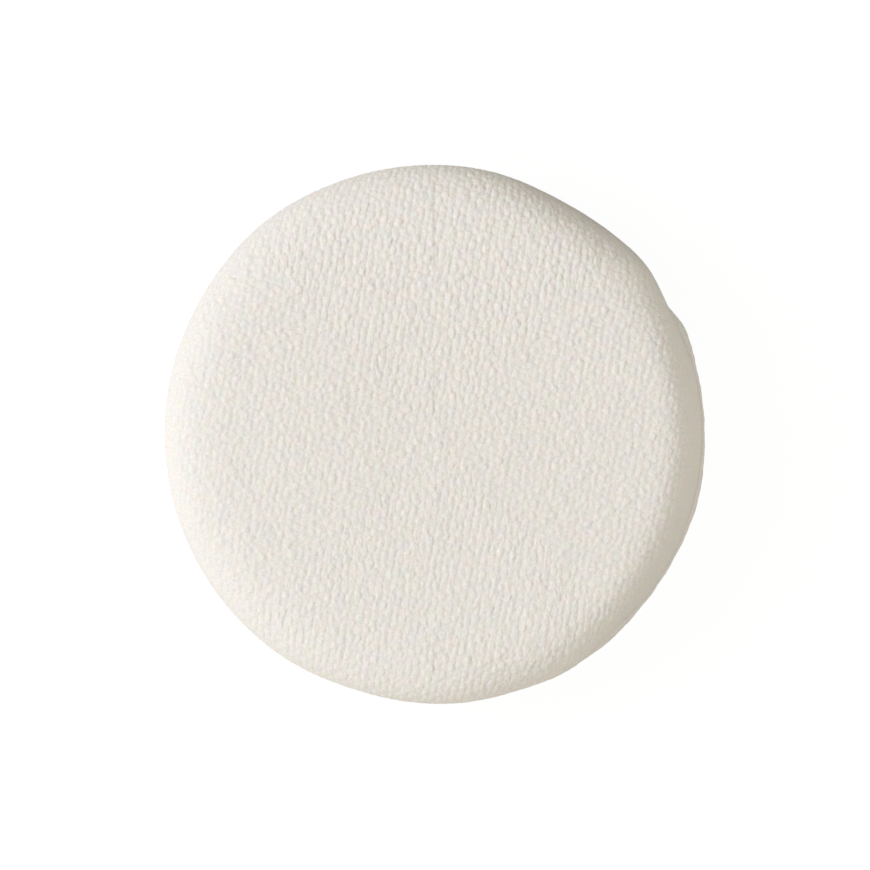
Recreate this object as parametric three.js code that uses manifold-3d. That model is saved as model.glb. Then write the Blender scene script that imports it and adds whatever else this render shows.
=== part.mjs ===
// Round velour powder puff: two panels sewn face to face at the rim and turned out over a foam disc,
// with a satin finger ribbon across the back whose ends are caught in the seam.
// Millimetres, +Z up through the powder face. The origin is the middle of the flat that the back rests on.

import * as THREE from 'three';
import { mergeGeometries, mergeVertices } from 'three/addons/utils/BufferGeometryUtils.js';
import loadManifold from 'manifold-3d';

// Puff: two lobes of cloth that meet in a drawn-in seam
const puffDiameter = 75;
const seamDrawIn = 1.2; // from the widest line of a lobe in to the seam's crease
const frontCrown = 7.5; // from the front lobe's widest line up to the middle of the powder face
const frontTuck = 2; // from the seam up to the front lobe's widest line
const frontFlatness = 10; // exponent of the front lobe's section: a flat face with a tight shoulder
const backTuck = 2; // from the back lobe's widest line up to the seam
const backCrown = 5; // from the back lobe's widest line down to the middle of the unpressed back
const backFlatness = 7;
const restFlat = 0.5; // depth of the flat that the back's own weight presses into it

// Cloth
const velourThickness = 1.8;
const pressedThickness = 1.2; // the same velour in the seam allowance, with its pile pressed down
const allowanceWidth = 6; // from the seam's crease in to the cut edge
const clothGap = 0.3; // between the two panels along the seam

// Foam
const coreGap = 0.3;

// Finger ribbon, which runs along Y in a bed that it presses into the pile
const ribbonWidth = 22;
const ribbonThickness = 0.35;
const ribbonTail = 5; // length of each end that is caught between the allowances
const ribbonGap = 0.3;

// Seam: a lockstitch, and a hand ladder stitch over the gap that the puff was turned through
const stitchInset = 1.9; // from the seam's crease in to the line of stitches
const stitchLength = 4;
const threadDiameter = 0.3;
const threadGap = 0.08;
const closingStart = -57; // degrees about +Z, from +X
const closingEnd = 30;
const closingDrawIn = 0.9; // how far the front lobe's widest line is drawn in along that gap
const closingSoft = 14; // degrees over which the draw-in starts and ends
const closingFade = 8; // power of the radius by which it fades out towards the middle of the face

// Cutting
const cutPast = 1; // how far a cutter stands out past the surface that it cuts
const mergeDistance = 1e-4;

// Facets
const turnSteps = 40;
const lobeSteps = 8;
const tuckSteps = 3;
const innerSteps = 5;
const ribbonSteps = 6;
const threadSides = 6;
const holeSides = 6;

const puffRadius = puffDiameter / 2;
const creaseRadius = puffRadius - seamDrawIn;
const cutEdgeRadius = creaseRadius - allowanceWidth;
const stitchRadius = creaseRadius - stitchInset;
const backWidestHeight = backCrown - restFlat;
const seamHeight = backWidestHeight + backTuck;
const frontWidestHeight = seamHeight + frontTuck;
const frontSeamFace = seamHeight + clothGap / 2;
const backSeamFace = seamHeight - clothGap / 2;

const { Manifold, Mesh: ManifoldMesh } = await loadManifold().then((library) => {
  library.setup();
  return library;
});

// A closed geometry as a solid, with its shared vertices merged and its empty triangles dropped.
function solidOf(geometry) {
  const bare = geometry.clone();
  bare.deleteAttribute('normal');
  bare.deleteAttribute('uv');
  const merged = mergeVertices(bare, mergeDistance);
  const corners = merged.index.array;
  const kept = [];
  for (let i = 0; i < corners.length; i += 3) {
    const [a, b, c] = corners.slice(i, i + 3);
    if (a !== b && b !== c && c !== a) kept.push(a, b, c);
  }
  return new Manifold(new ManifoldMesh({
    numProp: 3,
    vertProperties: merged.attributes.position.array,
    triVerts: new Uint32Array(kept),
  }));
}

function geometryOf(solid) {
  const { vertProperties, triVerts, numProp } = solid.getMesh();
  const geometry = new THREE.BufferGeometry();
  geometry.setAttribute('position', new THREE.BufferAttribute(new Float32Array(vertProperties), numProp));
  geometry.setIndex(new THREE.BufferAttribute(new Uint32Array(triVerts), 1));
  return geometry;
}

// A section, as [radius, height] points that run outwards below and inwards above, turned about +Z.
function turned(section) {
  const points = section.map(([radius, height]) => new THREE.Vector2(radius, height));
  return new THREE.LatheGeometry(points, turnSteps).rotateX(Math.PI / 2);
}

// Half section of one lobe's face, from the axis out to the widest line, as [radius, height above that line].
// It follows (radius / widest)^flatness + (height / crown)^2 = 1, cut level at flat below the crown.
function lobeFace(widest, crown, flatness, flat, steps) {
  const start = Math.acos(1 - flat / crown);
  const face = flat > 0 ? [[0, crown - flat]] : [];
  for (let i = 0; i <= steps; i++) {
    const angle = start + ((Math.PI / 2 - start) * i) / steps;
    face.push([widest * Math.sin(angle) ** (2 / flatness), crown * Math.cos(angle)]);
  }
  return face;
}

// Half section of the tuck from just past a lobe's widest line in to the crease: a quarter of an ellipse,
// as [radius, height below that line].
function lobeTuck(drop, inset) {
  const tuck = [];
  for (let i = 1; i <= tuckSteps; i++) {
    const angle = ((Math.PI / 2) * i) / tuckSteps;
    tuck.push([creaseRadius + (seamDrawIn - inset) * Math.cos(angle), (drop - inset) * Math.sin(angle)]);
  }
  return tuck;
}

// Front panel: the domed face, its tuck, and the seam allowance turned in under it.
function frontPanelSection() {
  const raise = ([radius, height]) => [radius, frontWidestHeight + height];
  const lower = ([radius, drop]) => [radius, frontWidestHeight - drop];
  const innerRadius = puffRadius - velourThickness;
  const inner = lobeFace(innerRadius, frontCrown - velourThickness, frontFlatness, 0, innerSteps).map(raise);
  const outer = lobeFace(puffRadius, frontCrown, frontFlatness, 0, lobeSteps).map(raise);
  const tuck = lobeTuck(frontWidestHeight - frontSeamFace, 0).map(lower);
  return [
    ...inner,
    [innerRadius, frontSeamFace + pressedThickness],
    [cutEdgeRadius, frontSeamFace + pressedThickness],
    [cutEdgeRadius, frontSeamFace],
    ...tuck.reverse(),
    ...outer.reverse(),
  ];
}

// Draws in what lies in the front lobe along the gap that is closed by hand, where the back shows past it.
function closedByHand(geometry) {
  const { degToRad, smoothstep } = THREE.MathUtils;
  const middle = degToRad((closingStart + closingEnd) / 2);
  const halfGap = degToRad((closingEnd - closingStart) / 2);
  const halfSoft = degToRad(closingSoft / 2);
  const place = geometry.attributes.position;
  for (let i = 0; i < place.count; i++) {
    const spoke = new THREE.Vector2(place.getX(i), place.getY(i));
    const away = Math.acos(Math.cos(spoke.angle() - middle));
    const inGap = 1 - smoothstep(away, halfGap - halfSoft, halfGap + halfSoft);
    const inLobe = smoothstep(place.getZ(i), frontSeamFace, frontWidestHeight);
    const fade = (spoke.length() / puffRadius) ** (closingFade - 1);
    spoke.multiplyScalar(1 - (closingDrawIn / puffRadius) * inGap * inLobe * fade);
    place.setXY(i, spoke.x, spoke.y);
  }
  return geometry;
}

// The back's outer line from the axis to the crease, moved into the cloth by inset.
function backLine(inset) {
  const face = lobeFace(puffRadius - inset, backCrown - inset, backFlatness, restFlat, lobeSteps);
  const tuck = lobeTuck(backSeamFace - backWidestHeight, inset);
  return [
    ...face.map(([radius, height]) => [radius, backWidestHeight - height]),
    ...tuck.map(([radius, rise]) => [radius, backWidestHeight + rise]),
  ];
}

// Back panel: as the front, upside down, with the flat that it rests on.
function backPanelSection() {
  const innerRadius = puffRadius - velourThickness;
  const inner = lobeFace(innerRadius, backCrown - velourThickness, backFlatness, restFlat, innerSteps)
    .map(([radius, height]) => [radius, backWidestHeight - height]);
  return [
    ...backLine(0),
    [cutEdgeRadius, backSeamFace],
    [cutEdgeRadius, backSeamFace - pressedThickness],
    [innerRadius, backSeamFace - pressedThickness],
    ...inner.reverse(),
  ];
}

// Foam disc: the space that the panels leave, without the rim where the allowances and threads lie.
function foamCore() {
  const inset = velourThickness + coreGap;
  const below = lobeFace(puffRadius - inset, backCrown - inset, backFlatness, restFlat, innerSteps)
    .map(([radius, height]) => [radius, backWidestHeight - height]);
  const above = lobeFace(puffRadius - inset, frontCrown - inset, frontFlatness, 0, innerSteps)
    .map(([radius, height]) => [radius, frontWidestHeight + height]);
  const rim = pressedThickness + threadGap + threadDiameter + coreGap;
  const rimInside = creaseRadius - Math.max(allowanceWidth, ribbonTail) - coreGap;
  const rimSection = [
    [rimInside, backSeamFace - rim],
    [puffRadius, backSeamFace - rim],
    [puffRadius, frontSeamFace + rim],
    [rimInside, frontSeamFace + rim],
    [rimInside, backSeamFace - rim],
  ];
  const disc = closedByHand(turned([...below, ...above.reverse()]));
  return solidOf(disc).subtract(solidOf(turned(rimSection)));
}

// A band along the back's outer line, from one end in the seam to the other and from inset outer to inner.
// Each point of its section sweeps an arc of its own radius about the puff's axis, so that the band lies on
// the round back. On the flat the arcs straighten out towards the middle.
function ribbonBand(outer, inner, width, tail) {
  const endRadius = creaseRadius - tail;
  const outerLine = [...backLine(outer), [endRadius, backSeamFace - outer]];
  const innerLine = [...backLine(inner), [endRadius, backSeamFace - inner]];
  const flatRadius = backLine(inner)[1][0];
  const mirrored = (line) => line.slice(1).map(([radius, height]) => [-radius, height]);
  const section = [
    ...mirrored(outerLine).reverse(), ...outerLine,
    ...innerLine.slice().reverse(), ...mirrored(innerLine),
  ];
  const shape = new THREE.Shape(section.map(([along, height]) => new THREE.Vector2(along, height)));
  const band = new THREE.ExtrudeGeometry(shape, { depth: width, steps: ribbonSteps, bevelEnabled: false });
  const place = band.attributes.position;
  for (let i = 0; i < place.count; i++) {
    const along = place.getX(i);
    const across = place.getZ(i) - width / 2;
    const arcRadius = Math.max(Math.abs(along), flatRadius);
    const share = Math.sqrt(arcRadius ** 2 - across ** 2) / arcRadius;
    place.setXYZ(i, across, along * share, place.getY(i));
  }
  return solidOf(band);
}

// Stitch holes, one pitch apart all round the seam. The closing stitch takes those of the turning gap.
const stitchCount = Math.round((2 * Math.PI * stitchRadius) / stitchLength);
const stitchPitch = (2 * Math.PI) / stitchCount;
const closingFirst = Math.ceil(THREE.MathUtils.degToRad(closingStart) / stitchPitch);
const closingLast = Math.floor(THREE.MathUtils.degToRad(closingEnd) / stitchPitch);
const loopReach = threadDiameter + threadGap; // from a hole's middle to each leg of a loop in it
const holeRadius = (loopReach + threadDiameter / 2 + threadGap) / Math.cos(Math.PI / holeSides);
const topRun = frontSeamFace + pressedThickness + threadGap + threadDiameter / 2;
const bottomRun = backSeamFace - pressedThickness - threadGap - threadDiameter / 2;

function stitchHoles() {
  const height = topRun - bottomRun;
  const hole = new THREE.CylinderGeometry(holeRadius, holeRadius, height, holeSides)
    .rotateX(Math.PI / 2)
    .translate(stitchRadius, 0, seamHeight);
  const holes = [];
  for (let i = 0; i < stitchCount; i++) holes.push(hole.clone().rotateZ(i * stitchPitch));
  return solidOf(mergeGeometries(holes));
}

// A point near stitch hole number index: moved along the seam, outwards, and at a height.
function stitchPoint(index, along, outwards, height) {
  const radius = stitchRadius + outwards;
  return new THREE.Vector3(radius, along, height)
    .applyAxisAngle(new THREE.Vector3(0, 0, 1), index * stitchPitch);
}

// The needle thread dips through each hole in a loop that lies along the seam.
function needlePath() {
  const loopFoot = seamHeight - loopReach / 2;
  const path = [];
  for (let i = closingLast + 1; i < closingFirst + stitchCount; i++) {
    path.push(stitchPoint(i, -loopReach, 0, topRun), stitchPoint(i, -loopReach, 0, loopFoot));
    path.push(stitchPoint(i, loopReach, 0, loopFoot), stitchPoint(i, loopReach, 0, topRun));
  }
  return path;
}

// The bobbin thread rises in a loop that lies across the seam, and passes through the needle thread's loop.
function bobbinPath() {
  const loopHead = seamHeight + loopReach / 2;
  const path = [];
  for (let i = closingLast + 1; i < closingFirst + stitchCount; i++) {
    path.push(stitchPoint(i, 0, -loopReach, bottomRun), stitchPoint(i, 0, -loopReach, loopHead));
    path.push(stitchPoint(i, 0, loopReach, loopHead), stitchPoint(i, 0, loopReach, bottomRun));
  }
  return path;
}

// The closing thread runs under the front's fold and the back's fold by turns, crossing the seam between.
function closingPath() {
  const path = [];
  for (let i = closingFirst; i <= closingLast; i++) {
    const above = (i - closingFirst) % 2 === 0;
    path.push(stitchPoint(i, 0, 0, above ? topRun : bottomRun));
    path.push(stitchPoint(i, 0, 0, above ? bottomRun : topRun));
  }
  return path;
}

// A thread of straight runs with mitred corners: each ring of points slides along its run to the next corner.
// Every thread starts upright in a hole, so +X is square to its first run.
function thread(path) {
  const runs = path.slice(1).map((point, i) => point.clone().sub(path[i]).normalize());
  let ring = [];
  for (let i = 0; i < threadSides; i++) {
    const turn = (2 * Math.PI * i) / threadSides;
    const spoke = new THREE.Vector3(threadDiameter / 2, 0, 0).applyAxisAngle(runs[0], turn);
    ring.push(spoke.add(path[0]));
  }
  const points = [...ring];
  for (let i = 0; i < runs.length; i++) {
    const run = runs[i];
    const mitre = run.clone().add(runs[i + 1] ?? run);
    ring = ring.map((point) => {
      const reach = path[i + 1].clone().sub(point).dot(mitre) / run.dot(mitre);
      return point.clone().addScaledVector(run, reach);
    });
    points.push(...ring);
  }
  const faces = [];
  for (let i = 0; i < runs.length; i++) {
    for (let j = 0; j < threadSides; j++) {
      const a = i * threadSides + j;
      const b = i * threadSides + ((j + 1) % threadSides);
      faces.push(a, b, b + threadSides, a, b + threadSides, a + threadSides);
    }
  }
  const last = runs.length * threadSides;
  for (let j = 1; j < threadSides - 1; j++) {
    faces.push(0, j + 1, j, last, last + j, last + j + 1);
  }
  const geometry = new THREE.BufferGeometry().setFromPoints(points);
  geometry.setIndex(faces);
  return geometry;
}

const velour = new THREE.MeshStandardMaterial({ color: '#e4ded6', roughness: 0.95, metalness: 0 });
const foam = new THREE.MeshStandardMaterial({ color: '#f3efe2', roughness: 0.9, metalness: 0 });
const satin = new THREE.MeshStandardMaterial({ color: '#eee3d3', roughness: 0.45, metalness: 0 });
const spun = new THREE.MeshStandardMaterial({ color: '#efe8dc', roughness: 0.7, metalness: 0 });

const puff = new THREE.Group();

function addPiece(name, geometry, material) {
  geometry.computeVertexNormals();
  const piece = new THREE.Mesh(geometry, material);
  piece.name = name;
  puff.add(piece);
}

const holes = stitchHoles();
const bedDepth = ribbonThickness + ribbonGap;
const ribbonBed = ribbonBand(-cutPast, bedDepth, ribbonWidth + 2 * ribbonGap, ribbonTail + ribbonGap);
const frontPanel = solidOf(closedByHand(turned(frontPanelSection()))).subtract(holes);
const backPanel = solidOf(turned(backPanelSection())).subtract(ribbonBed).subtract(holes);
const ribbon = ribbonBand(0, ribbonThickness, ribbonWidth, ribbonTail).subtract(holes);

addPiece('front_panel', geometryOf(frontPanel), velour);
addPiece('back_panel', geometryOf(backPanel), velour);
addPiece('foam_core', geometryOf(foamCore()), foam);
addPiece('finger_ribbon', geometryOf(ribbon), satin);
addPiece('needle_thread', thread(needlePath()), spun);
addPiece('bobbin_thread', thread(bobbinPath()), spun);
addPiece('closing_thread', thread(closingPath()), spun);

export default puff;
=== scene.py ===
"""Round velour powder puff, dressed for a photograph taken straight down on its powder face."""

import bpy
import numpy as np
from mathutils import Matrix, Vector


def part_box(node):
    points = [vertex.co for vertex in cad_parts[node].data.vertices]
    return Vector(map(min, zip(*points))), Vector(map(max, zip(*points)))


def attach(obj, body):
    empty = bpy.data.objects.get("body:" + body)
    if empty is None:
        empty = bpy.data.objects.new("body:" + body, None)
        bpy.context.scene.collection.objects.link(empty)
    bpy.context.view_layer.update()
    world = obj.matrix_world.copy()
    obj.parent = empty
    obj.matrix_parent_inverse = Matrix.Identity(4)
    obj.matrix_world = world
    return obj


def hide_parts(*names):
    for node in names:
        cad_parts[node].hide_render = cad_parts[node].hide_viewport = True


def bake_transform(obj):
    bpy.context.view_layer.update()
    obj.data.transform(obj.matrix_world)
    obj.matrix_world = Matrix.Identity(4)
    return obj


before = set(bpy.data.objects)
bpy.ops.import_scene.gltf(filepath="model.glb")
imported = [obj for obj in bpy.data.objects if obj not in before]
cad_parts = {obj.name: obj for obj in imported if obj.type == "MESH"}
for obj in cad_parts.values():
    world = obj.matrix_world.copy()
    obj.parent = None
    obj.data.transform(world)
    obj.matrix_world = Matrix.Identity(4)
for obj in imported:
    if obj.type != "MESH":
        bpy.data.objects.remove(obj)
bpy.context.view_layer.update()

# Camera: it looks straight down on the powder face, as the photograph does, from far enough off that the
# round edge hides its own seam. The picture is square, and the puff fills 540 of its 870 pixels.
MM = 0.001
PICTURE_PIXELS = 870
PUFF_PIXELS = 539.4
PUFF_CENTRE = (434.0, 434.0)
LENS_MM = 200
SENSOR_MM = 36
FRONT_TUCK = 2.85 * MM

front_low, front_high = (np.array(corner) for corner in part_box("front_panel"))
back_low, back_high = (np.array(corner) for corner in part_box("back_panel"))
puff_radius = -front_low[0]
front_widest = front_low[2] + FRONT_TUCK
pixel_size = 2 * puff_radius / PUFF_PIXELS

camera = bpy.data.objects.new("camera", bpy.data.cameras.new("camera"))
camera.data.lens = LENS_MM
camera.data.sensor_width = SENSOR_MM
camera.location = (
    (PICTURE_PIXELS / 2 - PUFF_CENTRE[0]) * pixel_size,
    (PUFF_CENTRE[1] - PICTURE_PIXELS / 2) * pixel_size,
    front_widest + pixel_size * PICTURE_PIXELS * LENS_MM / SENSOR_MM,
)
bpy.context.collection.objects.link(camera)
bpy.context.scene.camera = camera

# Front panel: a disc of cream cotton velour, knitted with a short cut pile. It is sewn to the back panel
# inside out, turned, and filled, so its edge rolls over in a full shoulder and its allowance lies inside.
WALL = 1.8 * MM
PRESSED_WALL = 1.2 * MM
ALLOWANCE = 6 * MM
SEAM_DRAW_IN = 1.2 * MM
SEAM_GAP = 0.02 * MM
FRONT_FLATNESS = 10.5
FRONT_RINGS = 256
FRONT_SWELL = 0.15 * MM
UNEVEN_FILL = 0.05 * MM
UNEVEN_PATCH = 5 * MM
UNEVEN_SEED = 31
FACE_STEPS = 4000
TUCK_STEPS = 600
REST_SOFT = 0.12 * MM
NOISE_NET = 256
FILL_RINGS = 36
FILL_PRESSURE = 4
FILL_MASS = 0.1
FILL_STRETCH = 240
FILL_SHEAR = 120
FILL_BEND = 2
FILL_FRAMES = 20
FILL_LIMIT = 0.9 * MM
FILL_WAVES = 3


def lobe_line(widest, crown, flatness, flat, tuck, draw_in, count):
    """Half section of one lobe, from the middle of its face to the seam's crease.

    The face follows (radius / widest)^flatness + (height / crown)^2 = 1, pressed level at flat below the
    crown, and the tuck under it is a quarter of an ellipse. Returns radius, height above the widest line,
    the unit normal's two parts and the share of the way round the tuck, at points an equal length of cloth
    apart, and the whole length."""
    angle = np.pi / 2 * np.linspace(0, 1, FACE_STEPS) ** (flatness / 2)
    rise = crown * np.cos(angle)
    if flat:
        level = crown - flat
        rise = 0.5 * (rise + level - np.hypot(rise - level, REST_SOFT))
    turn = np.linspace(0, np.pi / 2, TUCK_STEPS)[1:]
    radius = np.r_[widest * np.sin(angle) ** (2 / flatness), widest - draw_in * (1 - np.cos(turn))]
    height = np.r_[rise, -tuck * np.sin(turn)]
    tucked = np.r_[np.zeros_like(angle), np.sin(turn)]
    length = np.r_[0, np.cumsum(np.hypot(np.diff(radius), np.diff(height)))]
    even = np.linspace(0, length[-1], count)
    radius, height, tucked = (np.interp(even, length, part) for part in (radius, height, tucked))
    slope_r, slope_z = np.gradient(radius), np.gradient(height)
    steep = np.hypot(slope_r, slope_z)
    return radius, height, -slope_z / steep, slope_r / steep, tucked, length[-1]


def disc_grid(rings):
    """Ring number and angle of each point of a square grid that is bent into a disc.

    Each square ring of the grid becomes a circle, with its 8 points per ring number at equal angles."""
    i, j = np.meshgrid(np.arange(-rings, rings + 1), np.arange(-rings, rings + 1), indexing="ij")
    wide = np.abs(i) >= np.abs(j)
    signed = np.where(wide, i, j)
    part = np.where(wide, j, i) / np.where(signed == 0, 1, signed) * np.pi / 4
    part = np.where(wide, part, np.pi / 2 - part)
    angle = np.arctan2(signed * np.sin(part), signed * np.cos(part))
    return np.abs(signed), angle


def disc_faces(rings):
    """The quads of a disc grid, counterclockwise seen from +Z, and its outer ring's points in that order."""
    side = 2 * rings + 1
    index = np.arange(side * side).reshape(side, side)
    quads = np.stack([index[:-1, :-1], index[1:, :-1], index[1:, 1:], index[:-1, 1:]], -1).reshape(-1, 4)
    edge = np.r_[index[:-1, 0], index[-1, :-1], index[:0:-1, -1], index[0, :0:-1]]
    return quads, edge


def add_mesh(name, points, face_blocks, flip=False, smooth=None):
    """A mesh object of points and blocks of faces, smooth but where marked False, turned over by flip."""
    if flip:
        face_blocks = [block[:, ::-1] for block in face_blocks]
    mesh = bpy.data.meshes.new(name)
    mesh.vertices.add(len(points))
    mesh.vertices.foreach_set("co", np.ascontiguousarray(points, np.float32).ravel())
    corners = np.concatenate([block.ravel() for block in face_blocks])
    sizes = np.concatenate([np.full(len(block), block.shape[1]) for block in face_blocks])
    mesh.loops.add(len(corners))
    mesh.loops.foreach_set("vertex_index", corners.astype(np.int32))
    mesh.polygons.add(len(sizes))
    mesh.polygons.foreach_set("loop_start", np.r_[0, np.cumsum(sizes)[:-1]].astype(np.int32))
    smooth = smooth or [True] * len(face_blocks)
    marks = np.concatenate([np.full(len(block), mark) for block, mark in zip(face_blocks, smooth)])
    mesh.polygons.foreach_set("use_smooth", marks)
    mesh.update(calc_edges=True)
    mesh.validate()
    made = bpy.data.objects.new(name, mesh)
    bpy.context.collection.objects.link(made)
    return made


def cloth_panel(name, skin_grid, rim, pole, flip):
    """A closed panel: its outer skin on a disc grid, then rings inwards along the skin's edge, to a pole.

    rim lists how far in from the skin's edge and how high each ring lies."""
    quads, edge = disc_faces((skin_grid.shape[0] - 1) // 2)
    skin = skin_grid.reshape(-1, 3)
    line = skin[edge]
    radius = np.hypot(line[:, 0], line[:, 1])[:, None]
    blocks, faces, previous, count = [skin], [quads], edge, len(skin)
    for inset, height in rim:
        here = count + np.arange(len(edge))
        blocks.append(np.c_[line[:, :2] * (1 - inset / radius), np.broadcast_to(height, len(edge))])
        faces.append(np.stack([np.roll(previous, -1), previous, here, np.roll(here, -1)], -1))
        previous, count = here, count + len(edge)
    blocks.append(np.array([[0, 0, pole]]))
    faces.append(np.stack([np.roll(previous, -1), previous, np.full(len(edge), count)], -1))
    return add_mesh(name, np.concatenate(blocks), faces, flip)


def noise(a, b, cell, seed):
    """Smooth random field of two coordinates, between -1 and 1, with features about one cell wide.

    A random number stands at each corner of a square net, and cubic steps blend the four about a point."""
    net = np.random.default_rng(seed).uniform(-1, 1, (NOISE_NET + 1, NOISE_NET + 1))
    u, v = a / cell, b / cell
    i, j = np.floor(u).astype(int), np.floor(v).astype(int)
    u, v = u - i, v - j
    u, v = u * u * (3 - 2 * u), v * v * (3 - 2 * v)
    i, j = i % NOISE_NET, j % NOISE_NET
    low = net[i, j] * (1 - u) + net[i + 1, j] * u
    high = net[i, j + 1] * (1 - u) + net[i + 1, j + 1] * u
    return low * (1 - v) + high * v


def edge_wave(angle, bumps):
    """Sum of bumps round the edge, each a bell about an angle in degrees, with a half width and a height."""
    wave = np.zeros_like(angle)
    for place, half_width, height in bumps:
        away = np.degrees(np.angle(np.exp(1j * (angle - np.radians(place)))))
        wave += height * np.exp(-((away / half_width) ** 2))
    return wave


def between(angle, start, end, soft):
    """1 between two angles in degrees and 0 outside, with an S-shaped change soft degrees wide at each."""
    away = np.degrees(np.angle(np.exp(1j * (angle - np.radians((start + end) / 2)))))
    share = np.clip(((end - start) / 2 - np.abs(away)) / soft + 0.5, 0, 1)
    return share * share * (3 - 2 * share)


# The pile stands in tufts, one to each loop of the knit. The loops make columns, called wales, that lean to
# the right towards the top of the photograph. Each wale lies part of a loop lower than the one to its left,
# and every other loop is taller, as in a chequered pattern.
WALE_WIDTH = 0.974 * MM
LOOP_LENGTH = 0.997 * MM
WALE_STAGGER = -0.2
WALE_LEAN = np.radians(9.5)
TUFT_SCATTER = 0.21
TUFT_SHAPE = (2, 1.45)
TUFT_CHANCE = 0.5
TUFT_SEED = 21
TUFT_NET = 512
TALL_LOOP = 0.45
CREASE_DEPTH = 0.5
CREASE_WIDTH = 0.4
DOME_SHARE = 0.46
RIB = 0.02
DRIFT_ACROSS = ((0.13 * MM, 2.3 * MM, 11), (0.06 * MM, 0.8 * MM, 12))
DRIFT_ALONG = ((0.20 * MM, 2.6 * MM, 13), (0.10 * MM, 0.9 * MM, 14))
STREAKS = ((0.425, 2.1, 1.3, 15), (0.45, 3.6, 3.6, 16))
RAISED = 0.35
RAISED_OVER = 25 * MM
PILE_DEPTH = 0.092 * MM


def pile_height(a, b):
    """Height of the pile over flat cloth, about -1 to 1.

    Each tuft is a dome about its own point of the knit's lattice, scattered a little, and the creases
    between tufts lie where the nearest two are equally far. The domes grow taller towards the top of the
    photograph, and streaks of noise along the wales break them up."""
    a = a + sum(reach * noise(a, b, cell, seed) for reach, cell, seed in DRIFT_ACROSS)
    b = b + sum(reach * noise(a, b, cell, seed) for reach, cell, seed in DRIFT_ALONG)
    across = (np.cos(WALE_LEAN) * a - np.sin(WALE_LEAN) * b) / WALE_WIDTH
    along = (np.sin(WALE_LEAN) * a + np.cos(WALE_LEAN) * b) / LOOP_LENGTH
    draw = np.random.default_rng(TUFT_SEED).uniform(-1, 1, (TUFT_NET, TUFT_NET, 3))
    nearest = np.full(a.shape, np.inf)
    second = np.full(a.shape, np.inf)
    height = np.zeros(a.shape)
    wale = np.round(across).astype(int)
    for step in (-1, 0, 1):
        loop = np.round(along - WALE_STAGGER * (wale + step)).astype(int)
        for lift in (-1, 0, 1):
            own = draw[(wale + step) % TUFT_NET, (loop + lift) % TUFT_NET]
            off = across - (wale + step) - TUFT_SCATTER * own[..., 0]
            rise = along - (loop + lift) - WALE_STAGGER * (wale + step) - TUFT_SCATTER * own[..., 1]
            away = np.hypot(TUFT_SHAPE[0] * off, TUFT_SHAPE[1] * rise)
            first = away < nearest
            tall = TALL_LOOP * (1 - 2 * ((wale + step + loop + lift) % 2))
            second = np.where(first, nearest, np.minimum(second, away))
            height = np.where(first, TUFT_CHANCE * own[..., 2] + tall, height)
            nearest = np.where(first, away, nearest)
    crease = np.exp(-(((second - nearest) / CREASE_WIDTH) ** 2))
    dome = 1 - nearest**2 - CREASE_DEPTH * crease + height
    streaks = sum(size * noise(across * wide, along * long, 1.0, seed) for size, wide, long, seed in STREAKS)
    raised = 1 + RAISED * np.clip(b / RAISED_OVER, 0, 1)
    return (DOME_SHARE * dome + RIB * np.cos(2 * np.pi * across)) * raised + streaks


def held_fill(start):
    """How a lobe's skin on a grid of FILL_RINGS moves when a cloth simulation fills it, held at its crease.

    The fill presses evenly outwards, the cloth stretches a little, and no point moves past the limit."""
    ring, _ = disc_grid(FILL_RINGS)
    shell = add_mesh("fill_shell", start.reshape(-1, 3), [disc_faces(FILL_RINGS)[0]])
    held = shell.vertex_groups.new(name="crease")
    held.add(np.nonzero(ring.ravel() >= FILL_RINGS - 1)[0].tolist(), 1.0, "REPLACE")
    fill = shell.modifiers.new("fill", "CLOTH")
    fill.settings.vertex_group_mass = "crease"
    fill.settings.use_pressure = True
    fill.settings.uniform_pressure_force = FILL_PRESSURE
    fill.settings.effector_weights.gravity = 0
    fill.settings.mass = FILL_MASS
    fill.settings.tension_stiffness = FILL_STRETCH
    fill.settings.compression_stiffness = FILL_STRETCH
    fill.settings.shear_stiffness = FILL_SHEAR
    fill.settings.bending_stiffness = FILL_BEND
    fill.collision_settings.use_collision = False
    for number in range(1, FILL_FRAMES + 1):
        bpy.context.scene.frame_set(number)
    filled = np.zeros(start.size, np.float32)
    shell.evaluated_get(bpy.context.evaluated_depsgraph_get()).data.vertices.foreach_get("co", filled)
    bpy.data.objects.remove(shell)
    bpy.context.scene.frame_set(1)
    move = filled.reshape(start.shape) - start
    return move * np.minimum(1, FILL_LIMIT / np.maximum(np.linalg.norm(move, axis=-1, keepdims=True), 1e-9))


def smooth_steps(values, where):
    """Values at whole numbers, read at any places between them by Catmull-Rom steps."""
    base = np.clip(np.floor(where).astype(int), 0, len(values) - 2)
    t = where - base
    low, start, end, high = (values[np.clip(base + step, 0, len(values) - 1)] for step in (-1, 0, 1, 2))
    bend = (2 * low - 5 * start + 4 * end - high) * t**2 + (3 * start - low - 3 * end + high) * t**3
    return start + 0.5 * ((end - low) * t + bend)


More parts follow.
